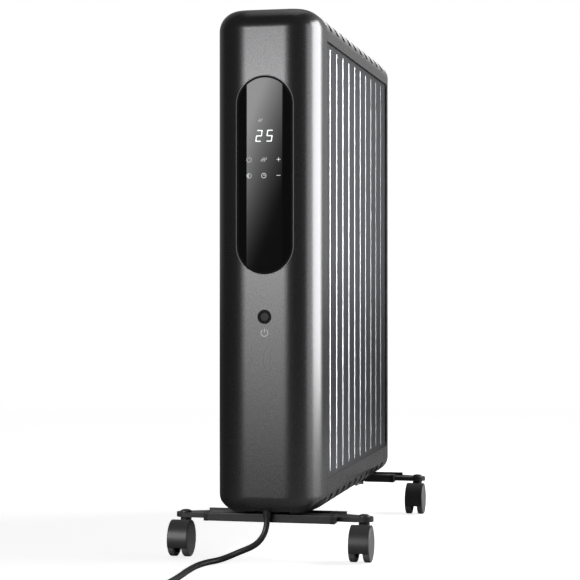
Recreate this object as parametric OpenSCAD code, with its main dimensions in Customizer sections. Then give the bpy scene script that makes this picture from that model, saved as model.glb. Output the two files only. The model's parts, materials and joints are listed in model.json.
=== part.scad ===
// Oil filled radiator heater on four swivelling twin-wheel casters.
// Origin on the floor under the middle of the heater, +Z up, front panel facing -Y.

/* [Body] */
// Width of the body, side to side
body_w = 124; // [110:1:150]
// Height of the top of the body above the floor
body_top = 641; // [600:1:760]
// Height of the underside of the body above the floor
body_bottom = 55; // [55:1:62]
// Radius of the two upper shoulders, seen from the front
shoulder_r = 24; // [20:1:30]
// Radius of the two lower corners, seen from the front
keel_r = 21; // [18:1:26]
// Radius of the upright corners of the front panel
front_r = 37; // [30:1:44]
// Radius of the edges round the rear cover
rear_r = 10; // [6:1:16]
// Radius of the panel's upper edge, seen from the side
front_top_r = 23; // [18:1:28]
// Radius of the panel's lower edge, seen from the side
front_low_r = 21; // [16:1:26]

/* [Shells] */
// Wall of the front panel and of the covers
wall = 2; // [1.6:0.1:2.6]
// How far the front panel reaches back
panel_l = 60; // [56:1:70]
// Height of the top cover on the sides
top_cover_h = 33; // [28:1:40]
// Height of the bottom cover on the sides
bottom_cover_h = 36.5; // [34:0.5:44]
// Length of the rear cover
rear_cover_l = 15; // [12:1:16]
// Width of each vent slot in the covers
slot_w = 15; // [6:1:18]
// Height of each vent slot
slot_h = 12; // [8:1:14]
// Gap between the front panel and the housing inside it
nest_gap = 0.3; // [0.2:0.1:0.6]
// Wall of the housing behind the front panel
housing_wall = 2; // [1.6:0.1:2.6]
// How far the housing reaches back from the front face
housing_l = 46; // [44:1:48]
// How far the middle of the panel's lower edge is lifted
lip_lift = 3; // [2:0.5:4]
// Width of that lifted part
lip_w = 54; // [40:1:60]

/* [Display] */
// Width of the display window
window_w = 66.6; // [50:0.2:72]
// Height of the display window
window_h = 229; // [180:1:260]
// Height of the middle of the window above the floor
window_z = 447; // [430:1:470]
// Width of the bright bezel round the window
bezel_w = 1; // [0.8:0.1:2]
// Width of the display board
board_w = 62; // [40:1:64]
// Thickness of the circuit boards
board_t = 1.6; // [1:0.1:2]

/* [Power button] */
// Height of the power button above the floor
button_z = 283.5; // [200:0.5:300]
// Diameter of the button cap
button_d = 10.4; // [8:0.2:16]
// Travel of the button
button_travel = 3; // [1:0.5:4]
// Gap round the cap
button_gap = 0.35; // [0.3:0.05:0.6]
// Width of the black ring round the cap
ring_w = 2.75; // [2:0.05:4]

/* [Heating sections] */
// Distance from one section to the next
fin_pitch = 41.4; // [40:0.1:50]
// Width of a section's flat side face, along the body
flange_w = 35.5; // [28:0.5:36]
// Radius of the rolled edges of the side faces
roll_r = 2.5; // [2:0.5:4]
// Sheet thickness of the side faces
sheet_t = 0.8; // [0.6:0.1:1.2]
// Depth of the side faces' returned edges
return_l = 8; // [6:1:12]
// Outside diameter of the oil galleries
gallery_d = 44; // [40:1:48]
// Wall of the oil galleries
gallery_wall = 2; // [1.5:0.1:3]
// Height of the lower gallery's axis
low_gallery_z = 112; // [110:1:125]
// Depth of the upper gallery's axis below the top of the body
high_gallery_drop = 53; // [50:1:70]
// Outside diameter of a section's upright oil channels
channel_d = 13; // [10:0.5:16]
// Distance of the upright oil channels from the middle
channel_x = 16; // [12:1:24]
// Inset of the ends of the side gaps from the covers
gap_end = 6; // [4:1:10]

/* [Feet] */
// Distance of each caster stem from the middle
stem_x = 107.8; // [100:0.1:125]
// Distance of the front stems behind the front face
stem_y = 50; // [46:1:60]
// Distance of the rear stems in front of the rear face
rear_stem_y = 30; // [26:1:32]
// Height of the underside of the foot plates
plate_z = 44.6; // [44.6:0.1:46]
// Thickness of the foot plates over their folded edges
plate_t = 5.4; // [4:0.1:6]
// Sheet thickness of the foot plates
plate_sheet = 1.8; // [1.2:0.1:2.5]
// Radius of the round ends of the foot plates
foot_end_r = 11; // [9:0.5:12]
// Distance from a stem to the rear edge of its foot plate
plate_back = 20; // [16:1:20]
// Half length of a foot's front bar, without its end caps
bar_half = 73; // [60:1:85]
// Length of each end cap of a bar
cap_l = 5; // [4:0.5:8]
// Depth of the bars
bar_d = 19; // [15:1:19]
// Height of the bars
bar_h = 10; // [9:0.2:10.4]
// Sheet thickness of the bars
bar_sheet = 1.4; // [1:0.1:2]
// Diameter of the hangers' rod
hanger_d = 5; // [4:0.5:6]

/* [Casters] */
// Diameter of a caster wheel
wheel_d = 41; // [38:0.5:41]
// Half of the gap between a caster's two wheels
wheel_in = 4.3; // [4.2:0.1:5]
// Width of one wheel
wheel_w = 8.1; // [7:0.1:10]
// Distance from a stem to its wheels' axle
trail = 20; // [16:1:22]
// Diameter of the stem inside the hood
stem_d = 6; // [5:0.1:6.2]
// Diameter of the axles
axle_d = 4; // [3:0.5:5]
// Radial running clearance of stems and wheels
run_gap = 0.05; // [0.02:0.01:0.1]
// Gap between the hood and the wheels' rims
hood_gap = 0.4; // [0.3:0.1:0.6]
// Wall of the hood
hood_wall = 1.4; // [1.2:0.1:1.6]

/* [Hidden] */
$fn = 64;
over = 1;
fin_count = 11;

// The sections stand between the heat shield and the rear cover
shield_t = 0.8;
section_gap = 1.75;
fin_rear_gap = 2;
section_depth = housing_l + shield_t + section_gap;
body_l = section_depth + (fin_count - 0.5) * fin_pitch + flange_w / 2 + fin_rear_gap + rear_cover_l;

// Planes along the body
front = -body_l / 2;
rear = body_l / 2;
panel_y = front + panel_l;
section_front = front + section_depth;
shield_y = front + housing_l;
top_seam = body_top - top_cover_h;
bottom_seam = body_bottom + bottom_cover_h;
rear_seam = rear - rear_cover_l;
high_gallery_z = body_top - high_gallery_drop;
function fin_y(i) = section_front + (i - 0.5) * fin_pitch;
flange_x = body_w / 2 - wall - nest_gap;
web_t = 2 * sheet_t;

// Front electronics
gasket_t = 1;
element_flange_t = 3;
board_seat = front + wall + nest_gap + housing_wall + 1.3;
ring_d = button_d + 2 * (button_gap + ring_w);
switch_y = front + 12;
rib_y = front + 28;
rib_t = 3;
rib_low = body_bottom + 70;
rib_h = 110;
rib_reach = 20;
board_lap = 10;
power_board_half = body_w / 2 - rib_reach + board_lap;

// Feet and casters
front_stem = front + stem_y;
rear_stem = rear - rear_stem_y;
plate_top = plate_z + plate_t;
bar_y = -foot_end_r - bar_d;
bar_z = plate_z - 0.6;
front_hanger_y = fin_y(1) + fin_pitch / 2;
rear_hanger_y = fin_y(fin_count) - fin_pitch / 2;
hanger_x = gallery_d / 2 + hanger_d / 2 + 0.2;
tab_x = hanger_x + 11;
tab_margin = 9;
nut_h = 5;
axle_z = wheel_d / 2;
hood_r = wheel_d / 2 + hood_gap + hood_wall;
hood_top = axle_z + hood_r;
web_half = wheel_in - hood_gap;
hood_half = wheel_in + wheel_w - 0.8;
collar_t = plate_z - hood_top - 0.4;
stem_bottom = axle_z + 4;

// Cord: route from its exit along the floor, then a coil and the plug, all from the gland's axis
cord_d = 7;
gland_y = front + 13;
gland_d = 13;
gland_seat = body_bottom + 16;
gland_top = gland_seat + 7;
gland_end = body_bottom - 5;
coil_x = -24;
coil_y = -321;
coil_mid_r = 38.5;
plug_x = 2;
plug_y = -363;
cord_points = [[0, 0, 44], [-1.1, -1.5, 36.2], [-3.8, -4.6, 28.8], [-8.6, -9.1, 22.2],
    [-15, -13.4, 17.9], [-23.4, -17, 14.6], [-32, -19, 11], [-40.3, -21.6, 7.3], [-48, -26, 4.6],
    [-53.6, -31.6, 3.6], [-58, -38.7, 3.5], [-61, -47, 3.5], [-63.5, -56.5, 3.5], [-65.2, -68, 3.5],
    [-66, -83, 3.5], [-66, -103, 3.5], [-65, -125, 3.5], [-64, -147, 3.5], [-64, -169, 3.5],
    [-65, -191, 3.5], [-66, -213, 3.5], [-66, -235, 3.5], [-66, -257, 3.5], [-66, -280, 3.5],
    [-66, -303, 3.5]];

// ---------- shared shapes ----------

// Rectangle with its own radius at each corner: lower left, lower right, upper right, upper left
module round_rect(x0, y0, x1, y1, radii) {
    corners = [[x0, y0], [x1, y0], [x1, y1], [x0, y1]];
    difference() {
        translate([x0, y0]) square([x1 - x0, y1 - y0]);
        for (i = [0:3]) {
            translate(corners[i]) rotate(90 * i) difference() {
                translate([-over, -over]) square(radii[i] + over);
                translate([radii[i], radii[i]]) circle(radii[i]);
            }
        }
    }
}

// Extrudes a front view, drawn in X and Z, from y0 to y1
module along_y(y0, y1) {
    translate([0, y1, 0]) rotate([90, 0, 0]) linear_extrude(y1 - y0) children();
}

// Extrudes a side view, drawn in Y and Z, from x0 to x1
module along_x(x0, x1) {
    translate([x0, 0, 0]) rotate([90, 0, 90]) linear_extrude(x1 - x0) children();
}

// Box between two corners
module span(low, high) {
    translate(low) cube(high - low);
}

// The whole body's outer form, smaller by g all round
module body_block(g) {
    half = body_w / 2 - g;
    low = body_bottom + g;
    high = body_top - g;
    intersection() {
        translate([0, 0, low]) linear_extrude(high - low)
            round_rect(-half, front + g, half, rear - g,
                [front_r - g, front_r - g, rear_r - g, rear_r - g]);
        along_y(front - over, rear + over)
            round_rect(-half, low, half, high,
                [keel_r - g, keel_r - g, shoulder_r - g, shoulder_r - g]);
        along_x(-body_w, body_w)
            round_rect(front + g, low, rear - g, high,
                [front_low_r - g, rear_r - g, rear_r - g, front_top_r - g]);
    }
}

// Upright stadium, seen from the front
module stadium(w, h) {
    translate([-w / 2, -h / 2 + w / 2]) square([w, h - w]);
    for (s = [-1, 1]) translate([0, s * (h - w) / 2]) circle(w / 2);
}

// Both lower corners of the panel, outside a straight chord
module corner_chords() {
    for (s = [0, 1]) mirror([s, 0]) polygon([
        [body_w / 2 - keel_r, body_bottom - over], [body_w / 2 + over, body_bottom - over],
        [body_w / 2 + over, body_bottom + keel_r * 0.78],
        [body_w / 2, body_bottom + keel_r * 0.76],
        [body_w / 2 - keel_r, body_bottom + 0.5]]);
}

// ---------- front: panel, housing and controls ----------

module front_panel() {
    color([0.26, 0.26, 0.27]) difference() {
        intersection() {
            body_block(0);
            span([-body_w, front - over, 0], [body_w, panel_y, body_top + over]);
        }
        body_block(wall);
        along_y(front - over, front + 3 * wall) translate([0, window_z])
            stadium(window_w + 2 * bezel_w, window_h + 2 * bezel_w);
        along_y(front - over, front + 3 * wall) translate([0, button_z]) circle(d = ring_d);
        span([-lip_w / 2, front - over, 0], [lip_w / 2, panel_y + over, body_bottom + lip_lift]);
        along_y(front - over, panel_y + over) corner_chords();
        translate([0, gland_y, 0]) cylinder(d = gland_d + 1, h = gland_seat);
    }
}

module control_housing() {
    g = wall + nest_gap;
    rim = 6;
    color([0.06, 0.06, 0.06]) difference() {
        union() {
            difference() {
                intersection() {
                    body_block(g);
                    span([-body_w, front, 0], [body_w, front + housing_l, body_top]);
                }
                body_block(g + housing_wall);
            }
            intersection() {
                body_block(g);
                along_y(front, board_seat) translate([0, window_z]) difference() {
                    square([board_w + 4, window_h + 12], center = true);
                    square([board_w - 2 * rim, window_h - rim], center = true);
                }
            }
            intersection() {
                body_block(0.8);
                along_y(front + 1, panel_y - 1) corner_chords();
            }
            intersection() {
                body_block(g);
                span([-gland_d, front, body_bottom], [gland_d, gland_y + gland_d, gland_seat]);
            }
            for (s = [-1, 1]) intersection() {
                body_block(g + housing_wall - 0.1);
                span([s > 0 ? body_w / 2 - rib_reach : -body_w / 2, rib_y, rib_low],
                    [s > 0 ? body_w / 2 : rib_reach - body_w / 2, rib_y + rib_t, rib_low + rib_h]);
            }
        }
        along_y(front, board_seat - 1) translate([0, window_z])
            stadium(window_w - 5, window_h - 5);
        along_y(front, front + 10) translate([0, button_z]) circle(d = ring_d);
        translate([0, gland_y, body_bottom]) cylinder(d = gland_d, h = gland_top - body_bottom);
    }
}

module window_bezel() {
    color([0.72, 0.72, 0.73]) difference() {
        intersection() {
            body_block(0);
            along_y(front - over, front + 3 * wall) translate([0, window_z]) difference() {
                stadium(window_w + 2 * bezel_w, window_h + 2 * bezel_w);
                stadium(window_w, window_h);
            }
        }
        body_block(wall);
    }
}

module display_window() {
    color([0.02, 0.02, 0.025]) difference() {
        intersection() {
            body_block(0.25);
            along_y(front - over, front + 3 * wall) translate([0, window_z])
                stadium(window_w, window_h);
        }
        body_block(wall);
    }
}

module display_board() {
    digit_z = window_z + 45;
    color([0.05, 0.25, 0.12]) {
        span([-board_w / 2, board_seat, window_z - window_h / 2],
            [board_w / 2, board_seat + board_t, window_z + window_h / 2]);
        span([-17, board_seat + board_t, digit_z - 12], [17, board_seat + board_t + 6, digit_z + 12]);
        span([-22, board_seat + board_t, window_z - 60], [22, board_seat + board_t + 3, window_z - 20]);
        span([-12, board_seat + board_t, window_z - 100], [12, board_seat + board_t + 8, window_z - 90]);
    }
}

module button_ring() {
    bore = button_d + 2 * button_gap;
    color([0.04, 0.04, 0.04]) difference() {
        union() {
            along_y(front + 0.3, front + wall + nest_gap + housing_wall) translate([0, button_z])
                circle(d = ring_d);
            along_y(front + 3, switch_y) translate([0, button_z]) circle(d = ring_d - 1.4);
        }
        along_y(front, switch_y + over) translate([0, button_z]) circle(d = bore);
    }
}

module power_button() {
    back = switch_y - button_travel - 0.5;
    color([0.4, 0.4, 0.41]) {
        along_y(front + 0.2, front + 0.8) translate([0, button_z]) circle(d = button_d - 1);
        along_y(front + 0.8, back) translate([0, button_z]) circle(d = button_d);
        along_y(back - over, switch_y + 5) translate([0, button_z]) circle(d = 4);
    }
}

module power_switch() {
    size = 16;
    color([0.1, 0.1, 0.1]) difference() {
        union() {
            span([-size / 2, switch_y, button_z - size / 2], [size / 2, switch_y + 16, button_z + size / 2]);
            for (s = [-1, 1]) along_y(switch_y + 16, switch_y + 22)
                translate([s * 4, button_z]) square([0.8, 6], center = true);
        }
        along_y(switch_y - over, switch_y + 10) translate([0, button_z]) circle(d = 4 + 2 * 0.35);
    }
}

module power_board() {
    y0 = rib_y - board_t;
    low = rib_low;
    color([0.1, 0.3, 0.15]) {
        span([-power_board_half, y0, low], [power_board_half, y0 + board_t, low + rib_h]);
        for (x = [-40, -14]) span([x, y0 - 16, low + 10], [x + 20, y0, low + 38]);
        span([12, y0 - 14, low + 12], [42, y0, low + 40]);
        translate([24, y0, low + 70]) rotate([90, 0, 0]) cylinder(d = 16, h = 15);
        translate([-24, y0, low + 74]) rotate([90, 0, 0]) cylinder(d = 10, h = 12);
        span([-8, y0 - 12, low + 84], [14, y0, low + 96]);
    }
}

module thermal_cutout() {
    color([0.75, 0.75, 0.72]) translate([20, shield_y, 400]) rotate([90, 0, 0]) {
        cylinder(d = 24, h = 1);
        cylinder(d = 16, h = 8);
        for (s = [-1, 1]) translate([s * 4, 0, 8]) cylinder(d = 2, h = 7);
    }
}

module tilt_switch() {
    color([0.85, 0.85, 0.8]) difference() {
        span([-40, shield_y - 14, 330], [-18, shield_y, 356]);
        along_y(shield_y - 15, shield_y - 11) translate([-29, 343]) circle(d = 8);
    }
}

module room_sensor() {
    z = body_bottom + wall + nest_gap + housing_wall;
    color([0.1, 0.1, 0.1]) translate([32, front + 28, z]) {
        cylinder(d = 9, h = 3);
        translate([0, 0, 3]) cylinder(d = 5, h = 8);
    }
}

module heat_shield() {
    g = wall + nest_gap;
    color([0.7, 0.7, 0.7]) difference() {
        intersection() {
            body_block(g);
            span([-body_w, shield_y, body_bottom + keel_r], [body_w, shield_y + shield_t, body_top]);
        }
        along_y(shield_y - over, shield_y + 2) translate([0, low_gallery_z]) circle(d = gallery_d + 8);
    }
}

module housing_screws() {
    z_low = body_bottom + 30;
    z_high = body_top - 30;
    z_mid = (z_low + z_high) / 2;
    color([0.6, 0.6, 0.6]) for (x = [-46, 46], z = [z_low, z_mid, z_high])
        along_y(shield_y + shield_t, shield_y + shield_t + 1.6) translate([x, z]) circle(d = 7);
}

// ---------- heating: element, gasket, sections ----------

module heating_element() {
    leg = 9;
    tube = 8;
    y0 = section_front - gasket_t - element_flange_t;
    y1 = fin_y(9);
    color([0.6, 0.45, 0.3]) {
        along_y(y0, y0 + element_flange_t) translate([0, low_gallery_z]) circle(d = gallery_d);
        for (s = [-1, 1]) {
            along_y(y0 - over, y1) translate([s * leg, low_gallery_z]) circle(d = tube);
            along_y(y0 - 12, y0) translate([s * leg, low_gallery_z]) circle(d = 5);
        }
        translate([0, y1, low_gallery_z]) rotate([0, 0, 0])
            rotate_extrude(angle = 180) translate([leg, 0]) circle(d = tube);
    }
}

module element_gasket() {
    y0 = section_front - gasket_t;
    color([0.2, 0.1, 0.08]) along_y(y0, section_front) translate([0, low_gallery_z]) difference() {
        circle(d = gallery_d - 0.4);
        circle(d = gallery_d - 2 * gallery_wall);
    }
}

module filler_plug() {
    color([0.7, 0.6, 0.3]) {
        along_y(section_front - 1.4, section_front) translate([0, high_gallery_z]) circle(d = 16);
        along_y(section_front - over, section_front + gallery_wall) translate([0, high_gallery_z])
            circle(d = 8);
    }
}

// One pressed and welded section of the radiator, hollow for the oil
module fin(i) {
    y = fin_y(i);
    half = fin_pitch / 2;
    bore = gallery_d - 2 * gallery_wall;
    low = body_bottom + wall + 9;
    high = body_top - wall - 9;
    first = i == 1;
    last = i == fin_count;
    color([0.3, 0.3, 0.31]) difference() {
        union() {
            along_y(y - web_t / 2, y + web_t / 2)
                round_rect(-flange_x + sheet_t / 2, low, flange_x - sheet_t / 2, high,
                    [20, 20, 20, 20]);
            for (z = [low_gallery_z, high_gallery_z])
                along_y(y - half, y + half) translate([0, z]) circle(d = gallery_d);
            for (s = [-1, 1]) translate([s * channel_x, y, low_gallery_z])
                cylinder(d = channel_d, h = high_gallery_z - low_gallery_z);
            for (s = [0, 1]) mirror([s, 0, 0]) {
                translate([0, 0, bottom_seam + gap_end])
                    linear_extrude(top_seam - bottom_seam - 2 * gap_end) difference() {
                        round_rect(flange_x - return_l, y - flange_w / 2, flange_x, y + flange_w / 2,
                            [0.5, roll_r, roll_r, 0.5]);
                        round_rect(flange_x - return_l - over, y - flange_w / 2 + sheet_t,
                            flange_x - sheet_t, y + flange_w / 2 - sheet_t,
                            [0.1, roll_r - sheet_t, roll_r - sheet_t, 0.1]);
                    }
                for (z = [bottom_seam, top_seam - gap_end])
                    span([flange_x - sheet_t, y - half + 0.1, z],
                        [flange_x, y + half - 0.1, z + gap_end]);
            }
        }
        along_y(y - half - over, y + half - (last ? gallery_wall : -over))
            translate([0, low_gallery_z]) circle(d = bore);
        along_y(y - half + (first ? gallery_wall : -over), y + half - (last ? gallery_wall : -over))
            translate([0, high_gallery_z]) circle(d = bore);
        if (first) along_y(y - half - over, y) translate([0, high_gallery_z]) circle(d = 8);
        for (s = [-1, 1]) translate([s * channel_x, y, low_gallery_z])
            cylinder(d = channel_d - 2 * gallery_wall, h = high_gallery_z - low_gallery_z);
    }
}

// ---------- covers ----------

// Vent slots across a rounded shoulder whose middle is at height z
module vent_slots(z) {
    for (i = [1:fin_count - 1]) for (s = [0, 1]) mirror([s, 0, 0])
        span([body_w / 2 - 14, fin_y(i) + fin_pitch / 2 - slot_w / 2, z - slot_h / 2],
            [body_w / 2 + over, fin_y(i) + fin_pitch / 2 + slot_w / 2, z + slot_h / 2]);
}

module top_cover() {
    color([0.27, 0.27, 0.28]) difference() {
        intersection() {
            body_block(0);
            span([-body_w, panel_y, top_seam], [body_w, rear + over, body_top + over]);
        }
        body_block(wall);
        vent_slots(body_top - shoulder_r * 0.5);
    }
}

module bottom_cover() {
    color([0.27, 0.27, 0.28]) difference() {
        intersection() {
            body_block(0);
            span([-body_w, panel_y, body_bottom - over], [body_w, rear + over, bottom_seam]);
        }
        body_block(wall);
        vent_slots(body_bottom + keel_r * 0.5);
        for (x = [-hanger_x, hanger_x], y = [front_hanger_y, rear_hanger_y])
            translate([x, y, body_bottom - over]) cylinder(d = hanger_d + 1, h = wall + 2 * over);
    }
}

module rear_cover() {
    color([0.12, 0.12, 0.12]) difference() {
        intersection() {
            body_block(0);
            span([-body_w, rear_seam, bottom_seam], [body_w, rear + over, top_seam]);
        }
        body_block(wall);
    }
}

// ---------- feet ----------

// Outline of a foot plate round its two stems; tab is the reach of its middle from the plate
module foot_outline(inset, tab_low, tab_high) {
    r = foot_end_r - inset;
    back = plate_back - inset;
    for (s = [-1, 1]) translate([s * stem_x, 0]) circle(r);
    polygon([[-stem_x, -r], [stem_x, -r], [stem_x, r], [stem_x - 24, back],
        [24 - stem_x, back], [-stem_x, r]]);
    translate([inset - tab_x, tab_low + inset])
        square([2 * (tab_x - inset), tab_high - tab_low - 2 * inset]);
}

module foot_plate(y, tab_low, tab_high, hanger) {
    color([0.08, 0.08, 0.08]) translate([0, y, 0]) difference() {
        union() {
            translate([0, 0, plate_z]) linear_extrude(plate_t) foot_outline(0, tab_low, tab_high);
            span([24 - stem_x, plate_back - plate_sheet, plate_top - over],
                [stem_x - 24, plate_back, plate_top + 3.2]);
        }
        translate([0, 0, plate_z - over]) linear_extrude(plate_t - plate_sheet + over) difference() {
            foot_outline(plate_sheet, tab_low, tab_high);
            for (s = [-1, 1]) translate([s * stem_x, 0]) circle(foot_end_r - 2);
            for (s = [-1, 1]) translate([s * hanger_x, hanger]) circle(hanger_d);
        }
        for (s = [-1, 1]) {
            translate([s * stem_x, 0, plate_z - over]) cylinder(d = 8, h = plate_t + 2 * over);
            translate([s * hanger_x, hanger, plate_z - over])
                cylinder(d = hanger_d, h = plate_t + 2 * over);
        }
    }
}

module front_foot_plate() {
    hanger = front_hanger_y - front_stem;
    foot_plate(front_stem, 0, hanger + tab_margin, hanger);
}

module rear_foot_plate() {
    hanger = rear_hanger_y - rear_stem;
    foot_plate(rear_stem, hanger - tab_margin, 0, hanger);
}

module foot_bar(y) {
    color([0.09, 0.09, 0.09]) along_x(-bar_half, bar_half) difference() {
        round_rect(y + bar_y, bar_z, y - foot_end_r, bar_z + bar_h, [1.2, 0.2, 0.2, 1.2]);
        translate([y + bar_y + bar_sheet, bar_z + bar_sheet])
            square([bar_d, bar_h - 2 * bar_sheet]);
    }
}

module front_foot_bar() {
    foot_bar(front_stem);
}

module rear_foot_bar() {
    difference() {
        foot_bar(rear_stem);
        color([0.09, 0.09, 0.09]) {
            span([-tab_x - 1, rear_stem + bar_y - over, bar_z - over],
                [tab_x + 1, rear_stem, plate_top + 0.6]);
            for (x = [-hanger_x, hanger_x]) translate([x, rear_hanger_y, plate_top])
                cylinder(d = hanger_d + 1, h = bar_h);
        }
    }
}

module bar_end_caps() {
    plug_l = 6;
    color([0.03, 0.03, 0.03]) for (y = [front_stem, rear_stem], s = [0, 1]) mirror([s, 0, 0]) {
        along_x(bar_half, bar_half + cap_l)
            round_rect(y + bar_y - 0.2, bar_z - 0.2, y - foot_end_r, bar_z + bar_h + 0.2,
                [1.5, 0.5, 0.5, 1.5]);
        along_x(bar_half - plug_l, bar_half + over)
            translate([y + bar_y + bar_sheet, bar_z + bar_sheet])
                square([bar_d - bar_sheet - 1, bar_h - 2 * bar_sheet]);
    }
}

module foot_hangers() {
    foot = plate_z - nut_h - 1.5;
    color([0.62, 0.62, 0.6]) for (y = [front_hanger_y, rear_hanger_y]) translate([0, y, 0]) {
        for (s = [-1, 1]) translate([s * hanger_x, 0, foot])
            cylinder(d = hanger_d, h = low_gallery_z - foot);
        translate([0, 0, low_gallery_z]) rotate([90, 0, 0])
            rotate_extrude(angle = 180) translate([hanger_x, 0]) circle(d = hanger_d);
    }
}

module wing_nuts() {
    color([0.62, 0.62, 0.6]) for (y = [front_hanger_y, rear_hanger_y], x = [-hanger_x, hanger_x])
        translate([x, y, plate_z - nut_h]) difference() {
            union() {
                cylinder(d = 8.6, h = nut_h);
                span([-10, -0.8, 0.5], [10, 0.8, nut_h - 1]);
            }
            translate([0, 0, -over]) cylinder(d = hanger_d, h = nut_h + 2 * over);
        }
}

// ---------- casters ----------

module caster_stems() {
    color([0.5, 0.5, 0.5]) for (x = [-stem_x, stem_x], y = [front_stem, rear_stem])
        translate([x, y, 0]) rotate_extrude() polygon([[0, stem_bottom], [stem_d / 2, stem_bottom],
            [stem_d / 2, plate_z - collar_t], [6.5, plate_z - collar_t], [6.5, plate_z],
            [4, plate_z], [4, plate_top], [7, plate_top], [6.6, plate_top + 1.4],
            [4.4, plate_top + 2.6], [2.2, plate_top + 3], [0, plate_top + 3]]);
}

// Hood that covers both wheels and turns on the stem
module hood(x, y) {
    cover_low = -21;
    color([0.05, 0.05, 0.05]) translate([x, y, 0]) difference() {
        union() {
            intersection() {
                translate([0, -trail, axle_z]) rotate([0, 90, 0]) difference() {
                    cylinder(r = hood_r, h = 2 * hood_half, center = true);
                    cylinder(r = hood_r - hood_wall, h = 3 * hood_half, center = true);
                }
                along_x(-hood_half, hood_half) polygon([[-trail, axle_z],
                    [-trail - 2 * hood_r, axle_z + 2 * hood_r * tan(cover_low)],
                    [-trail - 2 * hood_r, axle_z + 2 * hood_r], [-trail + 2 * hood_r, axle_z + 2 * hood_r],
                    [-trail + 2 * hood_r, axle_z + 2 * hood_r * tan(cover_low)]]);
            }
            intersection() {
                translate([0, -trail, axle_z]) rotate([0, 90, 0])
                    cylinder(r = hood_r - hood_wall / 2, h = 2 * web_half, center = true);
                along_x(-web_half, web_half) polygon([[-trail - hood_r, axle_z - 8],
                    [-trail + hood_r, axle_z - 8], [-trail + hood_r, axle_z + hood_r],
                    [-trail - hood_r, axle_z + hood_r]]);
            }
            translate([0, 0, stem_bottom - 2]) cylinder(r = web_half, h = hood_top - stem_bottom + 2);
            intersection() {
                translate([0, 0, axle_z + 14]) cylinder(r = 6.5, h = hood_top - axle_z - 14);
                difference() {
                    span([-10, -20, 0], [10, 20, 2 * hood_r]);
                    translate([0, -trail, axle_z]) rotate([0, 90, 0])
                        cylinder(r = hood_r - hood_wall, h = 4 * hood_half, center = true);
                }
            }
        }
        translate([0, 0, stem_bottom - 0.5])
            cylinder(d = stem_d + 2 * run_gap, h = hood_top);
        translate([0, -trail, axle_z]) rotate([0, 90, 0])
            cylinder(d = axle_d, h = 2 * hood_half, center = true);
    }
}

module axle(x, y) {
    color([0.7, 0.7, 0.7]) translate([x, y - trail, axle_z]) rotate([0, 90, 0])
        cylinder(d = axle_d, h = 2 * (wheel_in + wheel_w - 1.6), center = true);
}

// Side is -1 for the left wheel of a caster and 1 for the right wheel
module wheel(x, y, side) {
    r = wheel_d / 2;
    bore = axle_d / 2 + run_gap;
    disc = 1.1;
    color([0.35, 0.35, 0.36]) translate([x, y - trail, axle_z]) rotate([0, 90 * side, 0])
        translate([0, 0, wheel_in]) rotate_extrude() polygon([[bore, 0], [axle_d, 0],
            [axle_d, wheel_w - 3], [r - 4, wheel_w - 3], [r - 4, 0.6], [r - 3.4, 0], [r - 1, 0],
            [r, 1], [r, wheel_w - 1], [r - 1, wheel_w], [0, wheel_w], [0, wheel_w - disc],
            [bore, wheel_w - disc]]);
}

// ---------- cord ----------

// Rubber boot that grips the cord in the housing's floor
module cord_gland() {
    grip = gland_seat - 7;
    flange_r = gland_d / 2 + 0.9;
    color([0.03, 0.03, 0.03]) translate([0, gland_y, 0]) rotate_extrude() polygon([
        [0, gland_end], [4.5, gland_end], [5.4, grip], [gland_d / 2, grip],
        [gland_d / 2, gland_seat], [flange_r, gland_seat], [flange_r, gland_seat + 2.5], [5.5, gland_top],
        [0, gland_top]]);
}

function unit(v) = v / norm(v);
function tangent(p, i) = unit(p[min(i + 1, len(p) - 1)] - p[max(i - 1, 0)]);

// Round tube through a list of points
module sweep_tube(p, r, sides) {
    n = len(p);
    points = [for (i = [0:n - 1]) let (t = tangent(p, i), a = unit(cross(t, [0.3, 1, 0.1])), b = cross(t, a))
        for (k = [0:sides - 1]) p[i] + r * (cos(360 * k / sides) * a + sin(360 * k / sides) * b)];
    walls = [for (i = [0:n - 2], k = [0:sides - 1]) let (k2 = (k + 1) % sides)
        [i * sides + k, i * sides + k2, (i + 1) * sides + k2, (i + 1) * sides + k]];
    ends = [[for (k = [sides - 1:-1:0]) k], [for (k = [0:sides - 1]) (n - 1) * sides + k]];
    polyhedron(points, concat(walls, ends), convexity = 6);
}

module cord() {
    route = concat([[0, 0, gland_end]], cord_points);
    color([0.05, 0.05, 0.05]) translate([0, gland_y, 0]) sweep_tube(route, cord_d / 2, 8);
}

module cord_coil() {
    color([0.05, 0.05, 0.05]) translate([coil_x, gland_y + coil_y, 0]) rotate_extrude()
        translate([coil_mid_r - cord_d, 0]) square([2 * cord_d, 3 * cord_d]);
}

module plug() {
    z = 18.5;
    color([0.04, 0.04, 0.04]) translate([plug_x, gland_y + plug_y, z]) rotate([0, 90, 0]) {
        rotate_extrude() polygon([[0, 0], [4.4, 0], [7.5, 32], [12, 35], [18.5, 40], [18.5, 66],
            [17.5, 68], [0, 68]]);
        for (s = [-1, 1]) translate([0, s * 9.5, 68 - over]) cylinder(d = 4.8, h = 19 + over);
    }
}

// ---------- nodes ----------

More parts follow.
